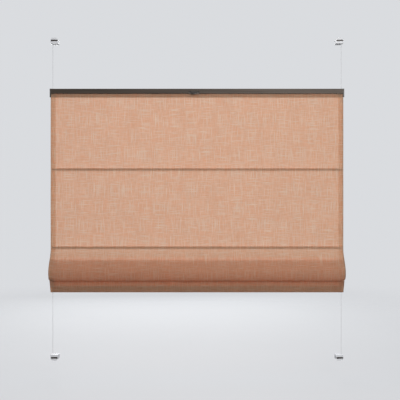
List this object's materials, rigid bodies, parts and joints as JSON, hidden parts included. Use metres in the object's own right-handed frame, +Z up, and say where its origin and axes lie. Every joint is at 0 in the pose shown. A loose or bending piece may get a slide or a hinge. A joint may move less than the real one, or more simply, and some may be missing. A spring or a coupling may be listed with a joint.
{
  "type": "roman blind",
  "caption": "Roman blind of semi-sheer linen cloth with a gathered bottom fold, hung from a bronze rail that slides on tensioned cords clamped to a window sash.",
  "frame": {"origin": "middle of the sash's top edge, in the plane of the sash's room-side face", "axes": "+Z up along the cords, +X to the right seen from the room, -Y towards the room"},
  "size_m": [1, 0.0789, 1.0994],
  "materials": {
    "rail_bronze": "satin bronze coating",
    "cap_plastic": "matt moulded",
    "handle_plastic": "satin moulded",
    "guide_plastic": "matt moulded",
    "header_tape": "hook tape",
    "linen": "slub linen weave, semi-sheer",
    "rod_steel": "drawn",
    "bar_aluminium": "mill",
    "cord": "braided",
    "clamp_white": "satin moulded",
    "clamp_pad": "matt foam",
    "shoe_brown": "matt moulded",
    "screw_steel": "plated"
  },
  "bodies": {
    "clamps_and_cords": {"clamp_bracket_top_left": "clamp_white", "clamp_bracket_top_right": "clamp_white", "clamp_bracket_bottom_left": "clamp_white", "clamp_bracket_bottom_right": "clamp_white", "clamp_pad_top_left": "clamp_pad", "clamp_pad_top_right": "clamp_pad", "clamp_pad_bottom_left": "clamp_pad", "clamp_pad_bottom_right": "clamp_pad", "cord_shoe_top_left": "shoe_brown", "cord_shoe_top_right": "shoe_brown", "cord_shoe_bottom_left": "shoe_brown", "cord_shoe_bottom_right": "shoe_brown", "cord_left": "cord", "cord_right": "cord"},
    "top_rail": {"top_rail": "rail_bronze", "end_cap_left": "cap_plastic", "end_cap_right": "cap_plastic", "cord_bush_left": "guide_plastic", "cord_bush_right": "guide_plastic", "pull_handle": "handle_plastic", "header_tape": "header_tape", "fabric": "linen"},
    "rod_1": {"rod_1": "rod_steel", "rod_1_guide_left": "guide_plastic", "rod_1_guide_right": "guide_plastic"},
    "rod_2": {"rod_2": "rod_steel", "rod_2_guide_left": "guide_plastic", "rod_2_guide_right": "guide_plastic"},
    "rod_3": {"rod_3": "rod_steel", "rod_3_guide_left": "guide_plastic", "rod_3_guide_right": "guide_plastic"},
    "bottom_bar": {"bottom_bar": "bar_aluminium", "bar_guide_left": "guide_plastic", "bar_guide_right": "guide_plastic"},
    "jaw_top_left": {"clamp_jaw_top_left": "clamp_white", "clamp_screw_top_left": "screw_steel"},
    "jaw_top_right": {"clamp_jaw_top_right": "clamp_white", "clamp_screw_top_right": "screw_steel"},
    "jaw_bottom_left": {"clamp_jaw_bottom_left": "clamp_white", "clamp_screw_bottom_left": "screw_steel"},
    "jaw_bottom_right": {"clamp_jaw_bottom_right": "clamp_white", "clamp_screw_bottom_right": "screw_steel"}
  },
  "joints": [
    {"name": "top_rail_slide", "type": "slide", "parent": "clamps_and_cords", "child": "top_rail", "axis": [0, 0, 1], "range_m": [-0.1, 0.148]},
    {"name": "bottom_bar_slide", "type": "slide", "parent": "top_rail", "child": "bottom_bar", "axis": [0, 0, 1], "range_m": [-0.1, 0.36], "deforming": ["fabric"]},
    {"name": "rod_1_slide", "type": "slide", "parent": "top_rail", "child": "rod_1", "axis": [0, 0, 1], "range_m": [-0.0353, 0.1244]},
    {"name": "rod_2_slide", "type": "slide", "parent": "top_rail", "child": "rod_2", "axis": [0, 0, 1], "range_m": [-0.0926, 0.3308]},
    {"name": "rod_3_slide", "type": "slide", "parent": "top_rail", "child": "rod_3", "axis": [0, 0, 1], "range_m": [-0.0987, 0.3526]},
    {"name": "jaw_top_left_slide", "type": "slide", "parent": "clamps_and_cords", "child": "jaw_top_left", "axis": [0, 1, 0], "range_m": [-0.006, 0.004]},
    {"name": "jaw_top_right_slide", "type": "slide", "parent": "clamps_and_cords", "child": "jaw_top_right", "axis": [0, 1, 0], "range_m": [-0.006, 0.004]},
    {"name": "jaw_bottom_left_slide", "type": "slide", "parent": "clamps_and_cords", "child": "jaw_bottom_left", "axis": [0, 1, 0], "range_m": [-0.006, 0.004]},
    {"name": "jaw_bottom_right_slide", "type": "slide", "parent": "clamps_and_cords", "child": "jaw_bottom_right", "axis": [0, 1, 0], "range_m": [-0.006, 0.004]}
  ],
  "couplings": [
    {"joint": "rod_1_slide", "follows": "bottom_bar_slide", "ratio": 0.34274},
    {"joint": "rod_2_slide", "follows": "bottom_bar_slide", "ratio": 0.91603},
    {"joint": "rod_3_slide", "follows": "bottom_bar_slide", "ratio": 0.97676}
  ]
}
